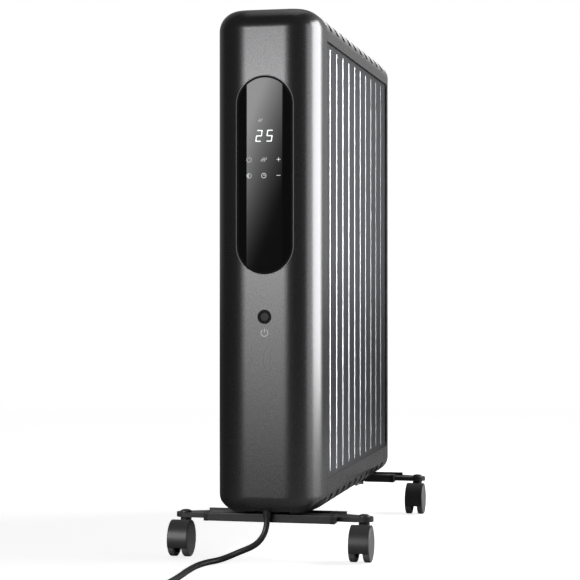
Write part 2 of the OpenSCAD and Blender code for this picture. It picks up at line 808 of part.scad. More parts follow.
front_panel();
control_housing();
window_bezel();
display_window();
display_board();
button_ring();
power_button();
power_switch();
power_board();
thermal_cutout();
tilt_switch();
room_sensor();
heat_shield();
housing_screws();
heating_element();
element_gasket();
filler_plug();
fin(1);  // fin_01
fin(2);  // fin_02
fin(3);  // fin_03
fin(4);  // fin_04
fin(5);  // fin_05
fin(6);  // fin_06
fin(7);  // fin_07
fin(8);  // fin_08
fin(9);  // fin_09
fin(10);  // fin_10
fin(11);  // fin_11
top_cover();
bottom_cover();
rear_cover();
front_foot_plate();
rear_foot_plate();
front_foot_bar();
rear_foot_bar();
bar_end_caps();
foot_hangers();
wing_nuts();
caster_stems();
hood(-stem_x, front_stem);  // hood_front_left
hood(stem_x, front_stem);  // hood_front_right
hood(-stem_x, rear_stem);  // hood_rear_left
hood(stem_x, rear_stem);  // hood_rear_right
axle(-stem_x, front_stem);  // axle_front_left
axle(stem_x, front_stem);  // axle_front_right
axle(-stem_x, rear_stem);  // axle_rear_left
axle(stem_x, rear_stem);  // axle_rear_right
wheel(-stem_x, front_stem, -1);  // wheel_front_left_a
wheel(-stem_x, front_stem, 1);  // wheel_front_left_b
wheel(stem_x, front_stem, -1);  // wheel_front_right_a
wheel(stem_x, front_stem, 1);  // wheel_front_right_b
wheel(-stem_x, rear_stem, -1);  // wheel_rear_left_a
wheel(-stem_x, rear_stem, 1);  // wheel_rear_left_b
wheel(stem_x, rear_stem, -1);  // wheel_rear_right_a
wheel(stem_x, rear_stem, 1);  // wheel_rear_right_b
cord_gland();
cord();
cord_coil();
plug();
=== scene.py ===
"""Oil filled radiator heater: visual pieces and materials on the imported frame.

All lengths are metres, in the frame's own axes: +Z up, front panel facing -Y.
"""

import json
import math

import bmesh
import bpy
from mathutils import Matrix, Vector

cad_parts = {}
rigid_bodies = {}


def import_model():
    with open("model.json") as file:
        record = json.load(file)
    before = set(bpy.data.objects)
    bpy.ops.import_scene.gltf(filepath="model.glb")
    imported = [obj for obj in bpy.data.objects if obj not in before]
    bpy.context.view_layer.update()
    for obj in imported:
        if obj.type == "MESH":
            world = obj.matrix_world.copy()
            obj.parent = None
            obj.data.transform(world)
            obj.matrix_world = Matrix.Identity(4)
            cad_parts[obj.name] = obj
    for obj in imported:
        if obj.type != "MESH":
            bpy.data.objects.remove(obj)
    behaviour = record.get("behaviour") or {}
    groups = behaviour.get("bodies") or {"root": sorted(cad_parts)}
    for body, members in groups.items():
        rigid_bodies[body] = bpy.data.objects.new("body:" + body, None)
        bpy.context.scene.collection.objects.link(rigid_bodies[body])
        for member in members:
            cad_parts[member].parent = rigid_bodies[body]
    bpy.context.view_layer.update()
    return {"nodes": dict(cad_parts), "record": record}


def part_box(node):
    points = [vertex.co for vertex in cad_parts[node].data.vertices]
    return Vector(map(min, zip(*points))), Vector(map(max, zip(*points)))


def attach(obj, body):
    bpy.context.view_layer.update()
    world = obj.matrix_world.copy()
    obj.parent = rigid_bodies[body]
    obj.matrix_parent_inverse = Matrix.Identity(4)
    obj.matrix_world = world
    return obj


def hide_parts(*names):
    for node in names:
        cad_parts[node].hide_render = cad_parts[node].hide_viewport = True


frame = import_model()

MM = 0.001
NODES = frame["nodes"]
BODY_OF = {node: body for body, nodes in frame["record"]["behaviour"]["bodies"].items()
           for node in nodes}

# ---------------------------------------------------------------------------
# Places, all read from the frame
# ---------------------------------------------------------------------------

panel_low, panel_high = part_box("front_panel")
front_y = panel_low.y
side_x = panel_high.x
body_low = panel_low.z
body_high = panel_high.z
panel_back = panel_high.y
cover_low, cover_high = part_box("top_cover")
rear_y = cover_high.y
top_seam = cover_low.z
bottom_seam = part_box("bottom_cover")[1].z
rear_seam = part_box("rear_cover")[0].y
window_low, window_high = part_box("display_window")
window_z = (window_low.z + window_high.z) / 2
fin_count = sum(name.startswith("fin_") for name in NODES)


def fin_middle(index):
    low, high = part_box(f"fin_{index:02d}")
    return (low.y + high.y) / 2


fin_pitch = fin_middle(2) - fin_middle(1)


# Sizes of the body's rounded edges
FRONT_RADIUS = 37 * MM
# The front corners leave the flat slowly: a fuller curve over a longer reach, with the
# same bulge as the plain radius
FRONT_REACH = FRONT_RADIUS + 4.5 * MM
FRONT_PROFILE = 0.55
REAR_RADIUS = 10 * MM
SHOULDER_RADIUS = 24 * MM
KEEL_RADIUS = 21 * MM
PANEL_WALL = 2 * MM

# ---------------------------------------------------------------------------
# Camera
# ---------------------------------------------------------------------------

CAMERA_PLACE = Vector((0.449, front_y - 1.905, 0.3144))
CAMERA_YAW = 12.4
FOCAL_LENGTH = 105.5


def make_camera():
    data = bpy.data.cameras.new("camera")
    data.lens = FOCAL_LENGTH
    data.sensor_width = 36
    data.clip_end = 60
    camera = bpy.data.objects.new("camera", data)
    camera.location = CAMERA_PLACE
    camera.rotation_euler = (math.radians(90), 0, math.radians(CAMERA_YAW))
    bpy.context.scene.collection.objects.link(camera)
    bpy.context.scene.camera = camera


make_camera()

# ---------------------------------------------------------------------------
# Mesh helpers
# ---------------------------------------------------------------------------


def keep_mesh(bm, name, material, sharp_angle=32):
    """Ends a bmesh as an object with smooth faces and sharp edges past an angle."""
    bmesh.ops.recalc_face_normals(bm, faces=bm.faces)
    limit = math.radians(sharp_angle)
    for face in bm.faces:
        face.smooth = True
    for edge in bm.edges:
        if len(edge.link_faces) == 2:
            edge.smooth = edge.calc_face_angle(0) < limit
    mesh = bpy.data.meshes.new(name)
    bm.to_mesh(mesh)
    bm.free()
    piece = bpy.data.objects.new(name, mesh)
    bpy.context.scene.collection.objects.link(piece)
    piece.data.materials.append(material)
    return piece


def even_normals(piece):
    """Keeps flat faces flat in the light beside rounded edges."""
    weighted = piece.modifiers.new("even_normals", "WEIGHTED_NORMAL")
    weighted.keep_sharp = True
    weighted.weight = 80
    return piece


def bake_modifiers(piece):
    """Turns a piece's modifiers into its mesh."""
    graph = bpy.context.evaluated_depsgraph_get()
    mesh = bpy.data.meshes.new_from_object(piece.evaluated_get(graph))
    old = piece.data
    piece.modifiers.clear()
    piece.data = mesh
    bpy.data.meshes.remove(old)
    mesh.name = piece.name
    return piece


def cut(piece, cutters, operation="DIFFERENCE"):
    """Cuts a solid with others, which are used up."""
    for cutter in cutters:
        modifier = piece.modifiers.new("cut", "BOOLEAN")
        modifier.operation = operation
        modifier.solver = "EXACT"
        modifier.object = cutter
    bake_modifiers(piece)
    for cutter in cutters:
        bpy.data.objects.remove(cutter)
    return piece


def soften(piece, width, segments=2, angle=32):
    """Rounds a piece's sharp edges."""
    bevel = piece.modifiers.new("soft_edges", "BEVEL")
    bevel.width = width
    bevel.segments = segments
    bevel.limit_method = "ANGLE"
    bevel.angle_limit = math.radians(angle)
    bevel.profile = 0.5
    return piece


def block(bm, low, high):
    """Adds a box between two corners and returns its vertices."""
    low, high = Vector(low), Vector(high)
    made = bmesh.ops.create_cube(bm, size=1)["verts"]
    bmesh.ops.scale(bm, verts=made, vec=high - low)
    bmesh.ops.translate(bm, verts=made, vec=(low + high) / 2)
    return made


def round_edges(bm, edges, radius, segments, profile=0.5):
    bmesh.ops.bevel(
        bm, geom=edges, offset=radius, offset_type="OFFSET", affect="EDGES",
        segments=segments, profile=profile, material=-1, clamp_overlap=False)


def rod(bm, start, end, radius, segments=32, end_radius=None):
    """Adds a closed cylinder or cone between two points."""
    start, end = Vector(start), Vector(end)
    turn = Vector((0, 0, 1)).rotation_difference(end - start).to_matrix().to_4x4()
    place = Matrix.Translation((start + end) / 2) @ turn
    top = radius if end_radius is None else end_radius
    made = bmesh.ops.create_cone(
        bm, cap_ends=True, segments=segments, radius1=radius, radius2=top,
        depth=(end - start).length, matrix=place)
    return made["verts"]


def capsule(bm, start, end, width, y, segments=16):
    """Adds a flat bar with round ends, facing along Y, between two places in X and Z."""
    run = Vector((end[0] - start[0], 0, end[1] - start[1]))
    half_step = Matrix.Rotation(math.pi / segments, 4, "Z")
    made = bmesh.ops.create_circle(
        bm, cap_ends=True, segments=segments, radius=width / 2, matrix=half_step)["verts"]
    bmesh.ops.translate(bm, verts=[v for v in made if v.co.x > 0], vec=(run.length, 0, 0))
    upright = Matrix.Rotation(math.pi / 2, 4, "X")
    turn = Matrix.Rotation(-math.atan2(run.z, run.x), 4, "Y")
    place = Matrix.Translation((start[0], y, start[1])) @ turn @ upright
    bmesh.ops.transform(bm, matrix=place, verts=made)
    return made


def stadium_prism(width, height, y0, y1, z):
    """A cutter with an upright stadium as its front."""
    bm = bmesh.new()
    reach = (height - width) / 2
    capsule(bm, (0, z - reach), (0, z + reach), width, y0, 96)
    made = bmesh.ops.extrude_face_region(bm, geom=bm.faces[:])["geom"]
    moved = [v for v in made if isinstance(v, bmesh.types.BMVert)]
    bmesh.ops.translate(bm, verts=moved, vec=(0, y1 - y0, 0))
    return keep_mesh(bm, "cutter", plain)


def body_form(inset):
    """The whole body's rounded outer form, smaller by an inset."""
    bm = bmesh.new()
    low = Vector((-side_x + inset, front_y + inset, body_low + inset))
    high = Vector((side_x - inset, rear_y - inset, body_high - inset))
    block(bm, low, high)

    def lies(edge, axis, place):
        return all(abs(v.co[axis] - place) < 1e-6 for v in edge.verts)

    def folded(edge):
        return len(edge.link_faces) == 2 and edge.calc_face_angle(0) > 1

    front_corners = [e for e in bm.edges if lies(e, 1, low.y) and not lies(e, 2, low.z)
                     and not lies(e, 2, high.z)]
    round_edges(bm, front_corners, FRONT_REACH - inset, 32, FRONT_PROFILE)
    for z, radius in ((high.z, SHOULDER_RADIUS), (low.z, KEEL_RADIUS)):
        rim = [e for e in bm.edges if lies(e, 2, z) and folded(e) and not lies(e, 1, high.y)]
        round_edges(bm, rim, radius - inset, 14)
    rear_rim = [e for e in bm.edges if lies(e, 1, high.y) and folded(e)]
    round_edges(bm, rear_rim, REAR_RADIUS - inset, 8)
    return bm


def halve(bm, point, normal, fill=False):
    """Keeps what lies behind a plane."""
    geometry = bm.verts[:] + bm.edges[:] + bm.faces[:]
    bmesh.ops.bisect_plane(
        bm, geom=geometry, plane_co=point, plane_no=normal, clear_outer=True, dist=1e-7)
    if fill:
        rim = [e for e in bm.edges if e.is_boundary]
        bmesh.ops.holes_fill(bm, edges=rim, sides=0)


def body_shell(inset, wall, planes, name, material):
    """A shell of the body's form, kept behind each plane, with its wall inwards."""
    bm = body_form(inset)
    for point, normal in planes:
        halve(bm, point, normal)
    bmesh.ops.recalc_face_normals(bm, faces=bm.faces)
    piece = keep_mesh(bm, name, material, 40)
    # a cut shell can come out looking inwards
    up = max(piece.data.polygons, key=lambda p: abs((p.center - Vector((0, 0, 0.34))).length))
    if up.normal.dot(up.center - Vector((0, (front_y + rear_y) / 2, 0.34))) < 0:
        piece.data.flip_normals()
    solid = piece.modifiers.new("wall", "SOLIDIFY")
    solid.thickness = wall
    solid.offset = -1
    solid.use_even_offset = True
    return bake_modifiers(piece)


def refine(name, width, material, slot, segments=2, angle=32):
    """Stands a copy of a CAD node in its place, with its sharp edges rounded."""
    node = NODES[name]
    bm = bmesh.new()
    bm.from_mesh(node.data)
    bmesh.ops.remove_doubles(bm, verts=bm.verts, dist=2e-6)
    bmesh.ops.dissolve_limit(bm, angle_limit=math.radians(1), verts=bm.verts, edges=bm.edges)
    piece = keep_mesh(bm, name + "_finished", material, angle)
    if width:
        soften(piece, width, segments, angle)
    even_normals(piece)
    return stand_for(piece, BODY_OF[name], slot, name)


def dress(name, material):
    """Gives a CAD node its material."""
    node = NODES[name]
    node.data.materials.clear()
    node.data.materials.append(material)


def stand_for(piece, body, slot, *nodes):
    """Puts a finished piece on its body, in place of CAD nodes."""
    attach(piece, body)
    if nodes:
        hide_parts(*nodes)
    return piece


# ---------------------------------------------------------------------------
# Materials
# ---------------------------------------------------------------------------


def from_hex(text):
    """sRGB hex to a linear colour."""
    parts = [int(text[i:i + 2], 16) / 255 for i in (1, 3, 5)]
    linear = [p / 12.92 if p <= 0.04045 else ((p + 0.055) / 1.055) ** 2.4 for p in parts]
    return (*linear, 1)


def add(tree, kind, settings=None, **links):
    """Adds a node: settings are its properties and socket values, links feed its inputs."""
    node = tree.nodes.new(kind)
    for key, value in (settings or {}).items():
        if isinstance(key, int) or key in node.inputs:
            node.inputs[key].default_value = value
        else:
            setattr(node, key, value)
    for key, source in links.items():
        socket = node.inputs[int(key[1:])] if key[1:].isdigit() else node.inputs[key]
        tree.links.new(source, socket)
    return node


def material(name, base, metallic=0.0, roughness=0.5, **sockets):
    """A principled material, with its tree and shader to build on."""
    made = bpy.data.materials.new(name)
    made.use_nodes = True
    tree = made.node_tree
    shader = tree.nodes["Principled BSDF"]
    shader.inputs["Base Color"].default_value = from_hex(base)
    shader.inputs["Metallic"].default_value = metallic
    shader.inputs["Roughness"].default_value = roughness
    for key, value in sockets.items():
        shader.inputs[key.replace("_", " ")].default_value = value
    made.diffuse_color = from_hex(base)
    return made, tree, shader


def vary(tree, shader, socket, source, low, high):
    """Drives a number socket from a 0 to 1 pattern, between two values."""
    reach = add(tree, "ShaderNodeMapRange", {"To Min": low, "To Max": high}, _0=source)
    tree.links.new(reach.outputs[0], shader.inputs[socket])


def tint(tree, shader, source, dark, light):
    """Drives the base colour from a pattern, between two colours."""
    ramp = add(tree, "ShaderNodeValToRGB", None, _0=source)
    ramp.color_ramp.elements[0].color = from_hex(dark)
    ramp.color_ramp.elements[1].color = from_hex(light)
    tree.links.new(ramp.outputs[0], shader.inputs["Base Color"])


def noise(tree, scale, detail=3.0, stretch=(1, 1, 1)):
    """A noise on object coordinates; scale is in cells per metre, stretch squeezes it by axis."""
    place = add(tree, "ShaderNodeTexCoord")
    mapped = add(tree, "ShaderNodeMapping", {"Scale": stretch}, _0=place.outputs["Object"])
    made = add(tree, "ShaderNodeTexNoise", {"Scale": scale, "Detail": detail},
               Vector=mapped.outputs[0])
    return made.outputs[0]


def bump(tree, shader, source, strength, distance):
    made = add(tree, "ShaderNodeBump", {"Strength": strength, "Distance": distance},
               Height=source)
    tree.links.new(made.outputs[0], shader.inputs["Normal"])


def graphite_lacquer():
    """Satin metallic lacquer on pressed steel: soft, deep reflections with a fine brushed drag."""
    made, tree, shader = material("graphite_metallic_lacquer", "#7c7c7d", 0.92, 0.27)
    drag = noise(tree, 260, 4, (1, 1, 14))
    flake = noise(tree, 2600, 1)
    tint(tree, shader, drag, "#777778", "#818182")
    vary(tree, shader, "Roughness", flake, 0.23, 0.31)
    bump(tree, shader, drag, 0.015, 0.1 * MM)
    return made


def section_lacquer():
    """Powder coat on sheet steel: satin, with a fine orange peel."""
    made, tree, shader = material("graphite_powder_coat", "#7b7c80", 0.9, 0.3)
    peel = noise(tree, 700, 3)
    broad = noise(tree, 9, 2)
    tint(tree, shader, broad, "#76777b", "#808185")
    vary(tree, shader, "Roughness", peel, 0.26, 0.34)
    bump(tree, shader, peel, 0.06, 0.1 * MM)
    return made


def black_abs(name="black_moulded_abs", base="#101011", low=0.38, high=0.55, grain=900):
    """Moulded ABS with a fine spark-eroded grain, which breaks up its reflections."""
    made, tree, shader = material(name, base, 0, 0.45)
    eroded = noise(tree, grain, 2)
    vary(tree, shader, "Roughness", eroded, low, high)
    bump(tree, shader, eroded, 0.18, 0.12 * MM)
    return made


def glass_black():
    """Back-painted black glass: a mirror-like face over deep black."""
    made, tree, shader = material("black_backed_glass", "#050506", 0, 0.045, IOR=1.52,
                                  Coat_Weight=1.0, Coat_Roughness=0.02)
    smear = noise(tree, 30, 3)
    vary(tree, shader, "Roughness", smear, 0.03, 0.07)
    return made


def bright_trim():
    """Anodised aluminium trim: a thin even silver line with a soft shine."""
    made, tree, shader = material("anodised_aluminium_trim", "#d4d5d6", 0.2, 0.34)
    vary(tree, shader, "Roughness", noise(tree, 1500, 2), 0.26, 0.36)
    return made


def zinc_plate():
    """Bright zinc plate on steel: pale, slightly blue, with soft spangle."""
    made, tree, shader = material("zinc_plated_steel", "#b9bcc0", 1.0, 0.35)
    spangle = noise(tree, 160, 3)
    tint(tree, shader, spangle, "#a9acb0", "#c4c7ca")
    vary(tree, shader, "Roughness", spangle, 0.28, 0.45)
    return made


def foot_lacquer():
    """Black stove enamel on pressed steel: low gloss, with soft light lines along its folds."""
    made, tree, shader = material("black_stove_enamel", "#3d3d3e", 0.4, 0.3)
    peel = noise(tree, 800, 2)
    vary(tree, shader, "Roughness", peel, 0.3, 0.44)
    bump(tree, shader, peel, 0.12, 0.1 * MM)
    return made


def grey_nylon():
    """Moulded nylon wheel: mid grey, with a satin face and faint flow marks."""
    made, tree, shader = material("grey_moulded_nylon", "#6a6a6b", 0, 0.38)
    flow = noise(tree, 120, 3)
    tint(tree, shader, flow, "#616162", "#737374")
    vary(tree, shader, "Roughness", flow, 0.36, 0.5)
    return made


def pvc_jacket():
    """Extruded black PVC cord jacket: soft sheen, faintly uneven along its length."""
    made, tree, shader = material("black_pvc_jacket", "#232324", 0, 0.32)
    uneven = noise(tree, 350, 2)
    vary(tree, shader, "Roughness", uneven, 0.36, 0.5)
    bump(tree, shader, uneven, 0.1, 0.15 * MM)
    return made


def woven_strap():
    """Woven nylon hook-and-loop strap: dull black with a fine cross weave."""
    made, tree, shader = material("woven_nylon_strap", "#161617", 0, 0.8)
    weave = noise(tree, 900, 1, (1, 1, 0.4))
    tint(tree, shader, weave, "#0e0e0f", "#222223")
    bump(tree, shader, weave, 0.4, 0.3 * MM)
    return made


def circuit_laminate():
    """Glass-fibre circuit laminate under green solder resist."""
    made, tree, shader = material("solder_resist_laminate", "#0f4a2a", 0, 0.35)
    weave = noise(tree, 500, 2)
    tint(tree, shader, weave, "#0b3c22", "#14583a")
    return made


def glow_white():
    """White light-emitting segments seen through the glass."""
    made, tree, shader = material("lit_white_segment", "#f4f8fa", 0, 0.4,
                                  Emission_Color=from_hex("#f4f8fa"), Emission_Strength=1.1)
    vary(tree, shader, "Roughness", noise(tree, 900, 1), 0.35, 0.45)
    return made


def glow_dim():
    """Dimmer lit symbols beside the digits."""
    made, tree, shader = material("lit_grey_symbol", "#9aa0a3", 0, 0.4,
                                  Emission_Color=from_hex("#b8bfc2"), Emission_Strength=0.8)
    vary(tree, shader, "Roughness", noise(tree, 900, 1), 0.35, 0.45)
    return made


def glow_keys():
    """Lit key symbols, a little less bright than the digits."""
    made, tree, shader = material("lit_pale_symbol", "#c8cdd0", 0, 0.4,
                                  Emission_Color=from_hex("#e6eaec"), Emission_Strength=0.8)
    vary(tree, shader, "Roughness", noise(tree, 900, 1), 0.35, 0.45)
    return made


def white_print_with_painted_glow():
    """White pad print on lacquer, with a painted glow: the ink emits light of its own, though it is
    no lamp.
    """
    made, tree, shader = material("white_pad_print", "#e4e5e6", 0, 0.5,
                                  Emission_Color=from_hex("#e4e5e6"), Emission_Strength=0.45)
    vary(tree, shader, "Roughness", noise(tree, 1200, 1), 0.42, 0.58)
    return made


plain = bpy.data.materials.new("cutter_only")
GRAPHITE = graphite_lacquer()
SECTION = section_lacquer()
BLACK = black_abs()
HOOD = black_abs("black_moulded_nylon_hood", "#313132", 0.34, 0.46, 700)
CAP = black_abs("black_polyethylene_cap", "#080808", 0.35, 0.5, 800)
SEAL = black_abs("black_silicone_seal", "#060606", 0.55, 0.7, 900)
GREY_CAP = black_abs("grey_moulded_button", "#6c6c6d", 0.35, 0.5, 1000)
GLASS = glass_black()
TRIM = bright_trim()
ZINC = zinc_plate()
FOOT = foot_lacquer()
WHEEL = grey_nylon()
CORD = pvc_jacket()
STRAP = woven_strap()
BOARD = circuit_laminate()
GLOW = glow_white()
DIM = glow_dim()
KEYS = glow_keys()
PAINTED_GLOW_PRINT = white_print_with_painted_glow()

# Nodes that stay as they are; every other one is replaced by a finished piece
CARRIED_OVER = (
    (BLACK, ("power_switch", "room_sensor", "element_gasket", "tilt_switch")),
    (ZINC, ("heat_shield", "housing_screws", "foot_hangers", "wing_nuts", "thermal_cutout",
            "heating_element", "filler_plug", "axle_front_left", "axle_front_right",
            "axle_rear_left", "axle_rear_right")),
    (BOARD, ("display_board", "power_board")),
    (CORD, ("cord_gland", "plug")),
)
for finish, names in CARRIED_OVER:
    for name in names:
        dress(name, finish)

# ---------------------------------------------------------------------------
# Cord, coil and plug
# ---------------------------------------------------------------------------

CORD_DIAMETER = 7 * MM
gland_low, gland_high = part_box("cord_gland")
EXIT = Vector((0, (gland_low.y + gland_high.y) / 2, gland_low.z))
FLOOR_UNDER_EXIT = Vector((0, EXIT.y, 0))
COIL_CENTRE = FLOOR_UNDER_EXIT + Vector((-24, -321, 0)) * MM
COIL_OUTER = 42 * MM
COIL_INNER = 35 * MM
ROUTE = [(0, 0, 50), (0, 0, 44), (-1.1, -1.5, 36.2), (-3.8, -4.6, 28.8), (-8.6, -9.1, 22.2),
         (-15, -13.4, 17.9), (-23.4, -17, 14.6), (-32, -19, 11), (-40.3, -21.6, 7.3),
         (-48, -26, 4.6), (-53.6, -31.6, 3.6), (-58, -38.7, 3.5), (-61, -47, 3.5),
         (-63.5, -56.5, 3.5), (-65.2, -68, 3.5), (-66, -83, 3.5), (-66, -103, 3.5),
         (-65, -125, 3.5), (-64, -147, 3.5), (-64, -169, 3.5), (-65, -191, 3.5),
         (-66, -213, 3.5), (-66, -235, 3.5), (-66, -257, 3.5), (-66, -280, 3.5),
         (-66, -303, 3.5)]


def coil_points():
    """Turns that lie beside and on each other; each step clears the turn that it passes."""
    r = CORD_DIAMETER / 2
    keys = [(0, COIL_OUTER, r), (0.85, COIL_OUTER, r), (1.0, COIL_INNER, r),
            (1.7, COIL_INNER, r), (1.85, COIL_INNER, 3 * r), (2.55, COIL_INNER, 3 * r),
            (2.7, COIL_OUTER, 3 * r), (3.4, COIL_OUTER, 3 * r), (3.55, COIL_OUTER, 5 * r),
            (4.25, COIL_OUTER, 5 * r)]
    per_turn = 24
    points = []
    for i in range(1, int(4.25 * per_turn) + 1):
        turn = i / per_turn
        before = max(k for k in keys if k[0] <= turn + 1e-9)
        after = min((k for k in keys if k[0] > turn), default=before)
        share = (turn - before[0]) / max(after[0] - before[0], 1e-6)
        ease = share * share * (3 - 2 * share)
        radius = before[1] + (after[1] - before[1]) * ease
        height = before[2] + (after[2] - before[2]) * ease
        angle = math.pi + 2 * math.pi * turn
        points.append(COIL_CENTRE
                      + Vector((radius * math.cos(angle), radius * math.sin(angle), height)))
    return points


def make_tie():
    """Strap round the coil's turns."""
    bm = bmesh.new()
    middle = (COIL_OUTER + COIL_INNER) / 2
    reach = (COIL_OUTER - COIL_INNER) / 2 + CORD_DIAMETER / 2 + 0.8 * MM
    width = 9 * MM
    height = 3 * CORD_DIAMETER + 0.8 * MM
    block(bm, (middle - reach, -width / 2, 0.1 * MM), (middle + reach, width / 2, height))
    long_edges = [e for e in bm.edges if abs(e.verts[0].co.y - e.verts[1].co.y) > width / 2]
    round_edges(bm, long_edges, 3.2 * MM, 6)
    turn = Matrix.Translation(COIL_CENTRE) @ Matrix.Rotation(math.radians(60), 4, "Z")
    bmesh.ops.transform(bm, matrix=turn, verts=bm.verts)
    piece = keep_mesh(bm, "cord_tie", STRAP)
    soften(piece, 0.4 * MM, 2, 60)
    even_normals(piece)
    return stand_for(piece, "heater", "cord_rubber")


def make_cord():
    points = [FLOOR_UNDER_EXIT + Vector(p) * MM for p in ROUTE] + coil_points()
    plug_low, plug_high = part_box("plug")
    plug_start = Vector((plug_low.x, (plug_low.y + plug_high.y) / 2, (plug_low.z + plug_high.z) / 2))
    points.append(plug_start - Vector((12 * MM, 0, 0)))
    points.append(plug_start + Vector((4 * MM, 0, 0)))
    data = bpy.data.curves.new("mains_cord", "CURVE")
    data.dimensions = "3D"
    data.bevel_depth = CORD_DIAMETER / 2
    data.bevel_resolution = 5
    data.resolution_u = 3
    data.use_fill_caps = True
    spline = data.splines.new("NURBS")
    spline.points.add(len(points) - 1)
    for point, place in zip(spline.points, points):
        point.co = (*place, 1)
    spline.order_u = 4
    spline.use_endpoint_u = True
    piece = bpy.data.objects.new("mains_cord", data)
    bpy.context.scene.collection.objects.link(piece)
    data.materials.append(CORD)
    length = sum((b - a).length for a, b in zip(points, points[1:]))
    print("cord length", round(length, 3))
    stand_for(piece, "heater", "cord_rubber", "cord", "cord_coil")
    make_tie()


make_cord()

# ---------------------------------------------------------------------------
# Body shells
# ---------------------------------------------------------------------------

BACK = Vector((0, 1, 0))
FRONT = Vector((0, -1, 0))
UP = Vector((0, 0, 1))
DOWN = Vector((0, 0, -1))
SEAM_GAP = 0.4 * MM
SLOT_LENGTH = 15 * MM
SLOT_HEIGHT = 12 * MM
SLOT_REACH = 14 * MM
LIP_HALF_WIDTH = 27 * MM
LIP_LIFT = 3 * MM
CORNER_RUN = 21 * MM
CORNER_RISE = 16 * MM
CORNER_START = 0.5 * MM
WINDOW_WIDTH = window_high.x - window_low.x
WINDOW_HEIGHT = 229 * MM
BEZEL = 1 * MM
SEAL_WIDTH = 2.3 * MM
button_low, button_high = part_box("power_button")
button_z = (button_low.z + button_high.z) / 2
ring_low, ring_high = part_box("button_ring")
RING_RADIUS = (ring_high.x - ring_low.x) / 2
CAP_LENGTH = 8.2 * MM
BUTTON_STEM_RADIUS = 2 * MM
HOUSING_LENGTH = 46 * MM
NEST_GAP = 0.3 * MM


def box_cutter(low, high):
    bm = bmesh.new()
    block(bm, low, high)
    return keep_mesh(bm, "cutter", plain)


def rod_cutter(start, end, radius, segments=64):
    bm = bmesh.new()
    rod(bm, start, end, radius, segments)
    return keep_mesh(bm, "cutter", plain)


def corner_blocks(y0, y1):
    """Blocks that take off the panel's two lower corners on a slant."""
    slant = math.atan2(CORNER_RISE, CORNER_RUN)
    blocks = []
    for side in (-1, 1):
        bm = bmesh.new()
        block(bm, (-0.02, y0, -0.02), (0.03, y1, 0))
        mirrored = Matrix.Diagonal((side, 1, 1, 1))
        turn = Matrix.Rotation(-slant * side, 4, "Y") @ mirrored
        corner = Vector((side * (side_x - CORNER_RUN), 0, body_low + CORNER_START))
        bmesh.ops.transform(bm, matrix=Matrix.Translation(corner) @ turn, verts=bm.verts)
        blocks.append(keep_mesh(bm, "cutter", plain))
    return blocks


def make_housing():
    """Black inner housing, whose corner blocks show below the panel's slanted corners."""
    back = front_y + HOUSING_LENGTH
    shell = body_shell(PANEL_WALL + NEST_GAP, 2 * MM, [((0, back, 0), BACK)],
                       "control_housing_shell", BLACK)
    cut(shell, [
        stadium_prism(WINDOW_WIDTH - 5 * MM, WINDOW_HEIGHT - 5 * MM, front_y - 0.01,
                      front_y + 0.01, window_z),
        rod_cutter((0, front_y - 0.01, button_z), (0, front_y + 0.01, button_z),
                   RING_RADIUS + 0.2 * MM),
    ])
    even_normals(shell)
    stand_for(shell, "heater", "black_moulding", "control_housing")
    for i, block_piece in enumerate(corner_blocks(front_y + 1 * MM, panel_back - 1 * MM)):
        corner = keep_mesh(body_form(0.8 * MM), f"housing_corner_{i}", BLACK)
        cut(corner, [block_piece], "INTERSECT")
        soften(corner, 0.4 * MM, 2, 40)
        even_normals(corner)
        stand_for(corner, "heater", "black_moulding")


def make_front_panel():
    piece = body_shell(0, PANEL_WALL, [((0, panel_back - SEAM_GAP, 0), BACK)],
                       "front_panel_shell", GRAPHITE)
    cuts = [
        stadium_prism(WINDOW_WIDTH + 2 * BEZEL, WINDOW_HEIGHT + 2 * BEZEL,
                      front_y - 0.01, front_y + 0.01, window_z),
        rod_cutter((0, front_y - 0.01, button_z), (0, front_y + 0.01, button_z), RING_RADIUS),
        box_cutter((-LIP_HALF_WIDTH, front_y - 0.01, body_low - 0.01),
                   (LIP_HALF_WIDTH, panel_back + 0.01, body_low + LIP_LIFT)),
    ]
    cuts += corner_blocks(front_y - 0.01, panel_back + 0.01)
    cut(piece, cuts)
    soften(piece, 0.35 * MM, 2, 40)
    even_normals(piece)
    return stand_for(piece, "heater", "graphite_metallic", "front_panel")


def make_cover(name, seam, top):
    planes = [((0, panel_back + SEAM_GAP, 0), FRONT),
              ((0, 0, seam), DOWN if top else UP)]
    piece = body_shell(0, PANEL_WALL, planes, name + "_shell", GRAPHITE)
    middle = body_high - SHOULDER_RADIUS / 2 if top else body_low + KEEL_RADIUS / 2
    cuts = []
    for i in range(1, fin_count):
        y = fin_middle(i) + fin_pitch / 2
        for side in (-1, 1):
            near, far = sorted((side * (side_x - SLOT_REACH), side * (side_x + 2 * MM)))
            cutter = box_cutter((near, y - SLOT_LENGTH / 2, middle - SLOT_HEIGHT / 2),
                                (far, y + SLOT_LENGTH / 2, middle + SLOT_HEIGHT / 2))
            soften(cutter, 1.5 * MM, 3)
            bake_modifiers(cutter)
            cuts.append(cutter)
    cut(piece, cuts)
    soften(piece, 0.4 * MM, 2, 40)
    even_normals(piece)
    return stand_for(piece, "heater", "cover_graphite", name)


def make_rear_cover():
    planes = [((0, rear_seam, 0), FRONT), ((0, 0, top_seam - SEAM_GAP), UP),
              ((0, 0, bottom_seam + SEAM_GAP), DOWN)]
    piece = body_shell(0, PANEL_WALL, planes, "rear_cover_shell", GRAPHITE)
    soften(piece, 0.35 * MM, 2, 40)
    even_normals(piece)
    return stand_for(piece, "heater", "rear_black", "rear_cover")


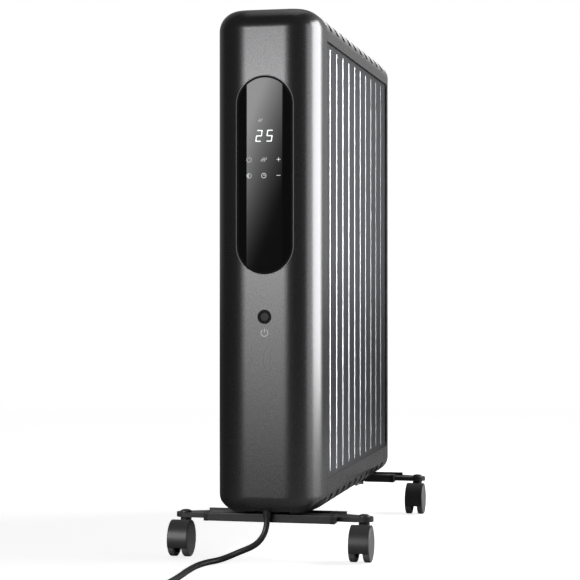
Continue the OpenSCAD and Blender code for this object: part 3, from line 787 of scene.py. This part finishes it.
def make_window():
    """Black glass that follows the panel's front, in its thin bright bezel."""
    front_half = [((0, panel_back, 0), BACK)]
    glass = body_shell(0.25 * MM, 1.7 * MM, front_half, "window_glass", GLASS)
    cut(glass, [stadium_prism(WINDOW_WIDTH, WINDOW_HEIGHT, front_y - 0.01, front_y + 0.02,
                              window_z)], "INTERSECT")
    soften(glass, 0.15 * MM, 2, 40)
    even_normals(glass)
    stand_for(glass, "heater", "black_glass", "display_window")
    bezel = body_shell(0, 1.9 * MM, front_half, "window_bezel_ring", TRIM)
    cut(bezel, [stadium_prism(WINDOW_WIDTH + 2 * BEZEL, WINDOW_HEIGHT + 2 * BEZEL,
                              front_y - 0.01, front_y + 0.02, window_z)], "INTERSECT")
    cut(bezel, [stadium_prism(WINDOW_WIDTH, WINDOW_HEIGHT, front_y - 0.01, front_y + 0.02,
                              window_z)])
    soften(bezel, 0.2 * MM, 2, 40)
    even_normals(bezel)
    stand_for(bezel, "heater", "bright_bezel", "window_bezel")
    seal = body_shell(0.15 * MM, 0.3 * MM, front_half, "window_seal", SEAL)
    cut(seal, [stadium_prism(WINDOW_WIDTH - 0.1 * MM, WINDOW_HEIGHT - 0.1 * MM, front_y - 0.01,
                             front_y + 0.02, window_z)], "INTERSECT")
    cut(seal, [stadium_prism(WINDOW_WIDTH - 2 * SEAL_WIDTH, WINDOW_HEIGHT - 2 * SEAL_WIDTH,
                             front_y - 0.01, front_y + 0.02, window_z)])
    even_normals(seal)
    stand_for(seal, "heater", "gasket")


def arc_strip(bm, centre, radius, width, start, sweep, y, steps=24):
    """Adds a flat arc that faces along Y; its angles are in degrees from +X towards +Z."""
    a = math.radians(start)
    out = Vector((math.cos(a), 0, math.sin(a)))
    middle = Vector((centre[0], y, centre[1]))
    ends = [bm.verts.new(middle + out * (radius + side * width / 2)) for side in (-1, 1)]
    edge = bm.edges.new(ends)
    bmesh.ops.spin(bm, geom=[edge] + ends, cent=middle, axis=(0, -1, 0),
                   angle=math.radians(sweep), steps=steps, use_merge=sweep >= 360)


def print_piece(bm, name, thickness, material, slot):
    """Gives flat marks their thickness, towards the front."""
    bmesh.ops.recalc_face_normals(bm, faces=bm.faces)
    for face in bm.faces:
        if face.normal.y > 0:
            face.normal_flip()
    bmesh.ops.solidify(bm, geom=bm.faces[:], thickness=thickness)
    return stand_for(keep_mesh(bm, name, material), "heater", slot)


LIT_Y = front_y + 0.2 * MM
MARK_DEPTH = 0.12 * MM
# Segments of a seven segment digit, as start and end in half widths and half heights
SEGMENTS = {"a": ((-1, 1), (1, 1)), "b": ((1, 1), (1, 0)), "c": ((1, 0), (1, -1)),
            "d": ((-1, -1), (1, -1)), "e": ((-1, 0), (-1, -1)), "f": ((-1, 1), (-1, 0)),
            "g": ((-1, 0), (1, 0))}
DIGIT_HALF = Vector((2.95, 6.2)) * MM
DIGIT_SLANT = 0.13
DIGIT_STROKE = 1.25 * MM
digits_z = window_z + 45 * MM
ICON_X = (-18.2 * MM, -0.8 * MM, 16.6 * MM)
ICON_Z = (window_z + 17.6 * MM, window_z - 0.8 * MM)
ICON_RADIUS = 2.7 * MM
ICON_STROKE = 0.7 * MM


def digit(bm, segments, x):
    """Adds a slanted digit whose strokes stop short of each other at their round ends."""
    for key in segments:
        places = []
        start, end = (Vector(p) for p in SEGMENTS[key])
        run = (end - start).normalized()
        for place, sign in ((start, 1), (end, -1)):
            flat = Vector((place.x * DIGIT_HALF.x, place.y * DIGIT_HALF.y)) + run * sign * 0.55 * MM
            places.append((x + flat.x + flat.y * DIGIT_SLANT, digits_z + flat.y))
        capsule(bm, places[0], places[1], DIGIT_STROKE, LIT_Y)


def heat_waves(bm, x, z, size, stroke):
    """Adds three upright S waves, the sign for heat."""
    for shift in (-1, 0, 1):
        middle = x + shift * size * 0.8
        arc_strip(bm, (middle, z + size / 2), size / 2, stroke, -90, 150, LIT_Y, 10)
        arc_strip(bm, (middle, z - size / 2), size / 2, stroke, 90, 150, LIT_Y, 10)


def make_display():
    bm = bmesh.new()
    digit(bm, "abged", -6.5 * MM)
    digit(bm, "afgcd", 6 * MM)
    print_piece(bm, "temperature_digits", MARK_DEPTH, GLOW, "black_glass")

    bright = bmesh.new()
    arc_strip(bright, (ICON_X[1], ICON_Z[1]), ICON_RADIUS, 0.6 * MM, 0, 360, LIT_Y, 32)
    capsule(bright, (ICON_X[1], ICON_Z[1]), (ICON_X[1], ICON_Z[1] + 1.5 * MM), 0.5 * MM, LIT_Y)
    capsule(bright, (ICON_X[1], ICON_Z[1]), (ICON_X[1] + 1.1 * MM, ICON_Z[1]), 0.5 * MM, LIT_Y)
    for row, bars in ((0, ((1, 0), (0, 1))), (1, ((1, 0),))):
        for bar in bars:
            reach = Vector(bar) * 2.1 * MM
            here = Vector((ICON_X[2], ICON_Z[row]))
            capsule(bright, here - reach, here + reach, 0.65 * MM, LIT_Y)
    print_piece(bright, "lit_keys", MARK_DEPTH, KEYS, "black_glass")

    dim = bmesh.new()
    arc_strip(dim, (ICON_X[0], ICON_Z[0]), ICON_RADIUS, ICON_STROKE, 120, 300, LIT_Y)
    capsule(dim, (ICON_X[0], ICON_Z[0] + 1 * MM), (ICON_X[0], ICON_Z[0] + 3.2 * MM), ICON_STROKE,
            LIT_Y)
    arc_strip(dim, (ICON_X[0], ICON_Z[1]), ICON_RADIUS, ICON_STROKE, 0, 360, LIT_Y, 32)
    arc_strip(dim, (ICON_X[0], ICON_Z[1]), ICON_RADIUS / 2, ICON_RADIUS, 90, 180, LIT_Y, 16)
    heat_waves(dim, ICON_X[1], ICON_Z[0], 2.5 * MM, ICON_STROKE)
    heat_waves(dim, -5 * MM, window_z + 63 * MM, 1.9 * MM, 0.6 * MM)
    print_piece(dim, "dim_keys", MARK_DEPTH, DIM, "black_glass")


def make_power_mark():
    """Printed power sign under the button, whose ink carries a painted glow."""
    bm = bmesh.new()
    z = button_z - 18.5 * MM
    y = front_y - 0.01 * MM
    arc_strip(bm, (0, z), 4 * MM, 0.8 * MM, 122, 296, y)
    capsule(bm, (0, z + 0.6 * MM), (0, z + 4.6 * MM), 0.8 * MM, y)
    print_piece(bm, "power_mark", 0.05 * MM, PAINTED_GLOW_PRINT, "button_grey")


def make_button():
    """Domed grey cap and its black ring."""
    middle = Vector((0, 0, button_z))
    radius = (button_high.x - button_low.x) / 2
    cap = bmesh.new()
    front_face = Vector((0, button_low.y, button_z))
    back_face = front_face + Vector((0, CAP_LENGTH, 0))
    rod(cap, front_face, back_face, radius, 64)
    rod(cap, back_face, (0, button_high.y, button_z), BUTTON_STEM_RADIUS, 24)
    rim = [e for e in cap.edges if all(abs(v.co.y - button_low.y) < 1e-6 for v in e.verts)]
    round_edges(cap, rim, 0.8 * MM, 5)
    piece = even_normals(keep_mesh(cap, "power_button_cap", GREY_CAP))
    stand_for(piece, "button", "button_grey", "power_button")

    ring = bmesh.new()
    a = Vector((radius + 0.35 * MM, ring_low.y, button_z))
    b = Vector((RING_RADIUS - 0.05 * MM, ring_low.y, button_z))
    deep = Vector((0, 5 * MM, 0))
    profile = [ring.verts.new(p) for p in (a + deep, a, b, b + deep)]
    edges = [ring.edges.new(pair) for pair in zip(profile, profile[1:])]
    edges.append(ring.edges.new((profile[-1], profile[0])))
    bmesh.ops.spin(ring, geom=profile + edges, cent=middle, axis=(0, 1, 0),
                   angle=2 * math.pi, steps=72, use_merge=True)
    piece = keep_mesh(ring, "power_button_ring", BLACK)
    soften(piece, 0.4 * MM, 3, 40)
    even_normals(piece)
    stand_for(piece, "heater", "black_moulding", "button_ring")


make_housing()
make_front_panel()
make_window()
make_display()
make_button()
make_power_mark()
make_cover("top_cover", top_seam, True)
make_cover("bottom_cover", bottom_seam, False)
make_rear_cover()

# ---------------------------------------------------------------------------
# Feet, casters and small parts, with their edges rounded
# ---------------------------------------------------------------------------

for name in NODES:
    if name.startswith("fin_"):
        refine(name, 0, SECTION, "section_paint", angle=28)
for name in ("front_foot_plate", "rear_foot_plate"):
    refine(name, 0.6 * MM, FOOT, "foot_black")
for name in ("front_foot_bar", "rear_foot_bar"):
    refine(name, 0.6 * MM, FOOT, "foot_black")
refine("bar_end_caps", 0.8 * MM, CAP, "cap_black")
for corner in ("front_left", "front_right", "rear_left", "rear_right"):
    refine("hood_" + corner, 0.5 * MM, HOOD, "hood_black")
    for side in "ab":
        refine(f"wheel_{corner}_{side}", 0.4 * MM, WHEEL, "wheel_grey")
refine("caster_stems", 0.3 * MM, FOOT, "stem_steel")

# ---------------------------------------------------------------------------
# Floor, lights and background
# ---------------------------------------------------------------------------


def make_stage():
    """A pale floor: white to the eye with soft contact shadows, dimmer in reflections."""
    pale, tree, shader = material("pale_floor", "#f2f2f2", 0, 0.9)
    shader.inputs["Emission Color"].default_value = (1, 1, 1, 1)
    ray = add(tree, "ShaderNodeLightPath")
    lift = add(tree, "ShaderNodeMapRange", {"To Min": 0, "To Max": 0.8},
               _0=ray.outputs["Is Camera Ray"])
    tree.links.new(lift.outputs[0], shader.inputs["Emission Strength"])
    tone = add(tree, "ShaderNodeMapRange", {"To Min": 0.25, "To Max": 0.9},
               _0=ray.outputs["Is Camera Ray"])
    tree.links.new(tone.outputs[0], shader.inputs["Base Color"])
    place = add(tree, "ShaderNodeTexCoord")
    away = add(tree, "ShaderNodeVectorMath", {"operation": "LENGTH"}, _0=place.outputs["Object"])
    fade = add(tree, "ShaderNodeMapRange", {"From Min": 0.6, "From Max": 2.5, "To Max": 1.0},
               _0=away.outputs["Value"])
    seen = add(tree, "ShaderNodeMath", {"operation": "MULTIPLY"}, _0=fade.outputs[0],
               _1=ray.outputs["Is Camera Ray"])
    glow = add(tree, "ShaderNodeEmission", {"Color": (1, 1, 1, 1), "Strength": 1.0})
    mix = add(tree, "ShaderNodeMixShader", None, _0=seen.outputs[0], _1=shader.outputs[0],
              _2=glow.outputs[0])
    tree.links.new(mix.outputs[0], tree.nodes["Material Output"].inputs[0])
    bm = bmesh.new()
    bmesh.ops.create_circle(bm, cap_ends=True, segments=64, radius=40)
    floor = keep_mesh(bm, "floor", pale)


def area_light(name, place, target, width, height, radiance, colour="#ffffff", spread=180):
    """A softbox that looks at a target; its radiance doesn't change with its size."""
    data = bpy.data.lights.new(name, "AREA")
    data.shape = "RECTANGLE"
    data.size = width
    data.size_y = height
    data.energy = radiance * math.pi * width * height
    data.color = from_hex(colour)[:3]
    data.spread = math.radians(spread)
    lamp = bpy.data.objects.new(name, data)
    lamp.location = place
    lamp.rotation_euler = (Vector(target) - Vector(place)).to_track_quat("-Z", "Y").to_euler()
    lamp.visible_camera = False
    bpy.context.scene.collection.objects.link(lamp)
    return lamp


def light_only(lamp, pieces, state="INCLUDE"):
    """Keeps a lamp to some pieces, or keeps it off them."""
    group = bpy.data.collections.new(lamp.name + "_pieces")
    for piece in pieces:
        group.objects.link(piece)
    for entry in group.collection_objects:
        entry.light_linking.link_state = state
    lamp.light_linking.receiver_collection = group


def make_lights():
    objects = bpy.data.objects
    glass = [objects["window_glass"]]
    fins = [piece for piece in objects if piece.name.startswith("fin_")]
    covers = [objects[name + "_shell"] for name in ("top_cover", "bottom_cover", "rear_cover")]
    low_names = ("hood_", "wheel_", "front_foot", "rear_foot", "mains_cord", "bar_end", "caster",
                 "plug", "cord_gland")
    low_pieces = [piece for piece in objects if piece.name.startswith(low_names)]

    # What the panel's flat middle and the glass mirror towards the camera
    mirrored_x = -0.585
    mirrored_y = front_y - 2.5
    upper = area_light("front_softbox", (mirrored_x, mirrored_y, 0.76),
                       (mirrored_x, front_y, 0.76), 0.56, 0.7, 4.2)
    lower = area_light("front_low_softbox", (mirrored_x, mirrored_y, 0.12),
                       (mirrored_x, front_y, 0.12), 0.56, 0.58, 1.6)
    for lamp in (upper, lower):
        light_only(lamp, glass, "EXCLUDE")
    strip_x = mirrored_x - 0.003
    strip = area_light("glass_strip", (strip_x, mirrored_y, 0.62), (strip_x, front_y, 0.62),
                       0.165, 0.6, 3.7)
    light_only(strip, glass)
    fade_strip(strip.data)

    edge_light = area_light("fin_edge_light", (1.15, front_y - 0.3, 0.6), (0.06, front_y, 0.5),
                            0.6, 1.1, 1.9, spread=32)
    light_only(edge_light, fins)
    low_fill = area_light("low_fill", (-0.9, front_y - 1.3, 0.8), (0, front_y + 0.1, 0.04),
                          1.1, 1.0, 7.0)
    light_only(low_fill, low_pieces)
    right = area_light("right_softbox", (1.45, 0.48, 0.78), (0.05, front_y, 0.5), 1.5, 1.45, 4.8)
    light_only(right, fins, "EXCLUDE")
    area_light("right_front_card", (1.55, front_y - 0.3, 0.62), (0.05, front_y, 0.4), 0.8, 1.2,
               0.9)
    left = area_light("left_softbox", (-1.9, 0.2, 0.8), (0, 0, 0.35), 1.8, 1.5, 2.0)
    rear = area_light("rear_softbox", (-0.5, 2.4, 0.9), (0, rear_y, 0.35), 1.3, 1.4, 2.2)
    for lamp in (left, rear):
        light_only(lamp, fins + covers)
    area_light("overhead_softbox", (0, 0.3, 2.4), (0, 0, 0.6), 1.0, 1.6, 0.35)


def fade_strip(light):
    """Fades a lamp from its top left to its bottom right."""
    light.use_nodes = True
    tree = light.node_tree
    lamp = tree.nodes["Emission"]
    place = add(tree, "ShaderNodeNewGeometry")
    parts = add(tree, "ShaderNodeSeparateXYZ", None, _0=place.outputs["Parametric"])
    across = add(tree, "ShaderNodeMapRange", {"To Min": 0.28, "To Max": -0.62},
                 _0=parts.outputs[0])
    upward = add(tree, "ShaderNodeMath", {"operation": "MULTIPLY_ADD", 1: 1.27},
                 _0=parts.outputs[1], _2=across.outputs[0])
    shade = add(tree, "ShaderNodeClamp", {"Min": 0.08}, _0=upward.outputs[0])
    fade = add(tree, "ShaderNodeMath", {"operation": "POWER", 1: 2.2}, _0=shade.outputs[0])
    tree.links.new(fade.outputs[0], lamp.inputs["Strength"])


def make_world():
    world = bpy.data.worlds.new("studio")
    bpy.context.scene.world = world
    world.use_nodes = True
    tree = world.node_tree
    back = tree.nodes["Background"]
    back.inputs["Color"].default_value = (1, 1, 1, 1)
    way = add(tree, "ShaderNodeTexCoord")
    parts = add(tree, "ShaderNodeSeparateXYZ", None, _0=way.outputs["Generated"])
    behind = add(tree, "ShaderNodeMapRange", {"From Min": 0.1, "From Max": 0.9, "To Min": 0.05,
                                             "To Max": 0.28}, _0=parts.outputs["Y"])
    tree.links.new(behind.outputs[0], back.inputs["Strength"])
    seen = add(tree, "ShaderNodeBackground", {"Color": (1, 1, 1, 1), "Strength": 1.0})
    ray = add(tree, "ShaderNodeLightPath")
    mix = add(tree, "ShaderNodeMixShader", None, _0=ray.outputs["Is Camera Ray"],
              _1=back.outputs[0], _2=seen.outputs[0])
    tree.links.new(mix.outputs[0], tree.nodes["World Output"].inputs[0])


make_stage()
make_lights()
make_world()
bpy.context.scene.view_settings.view_transform = "Standard"
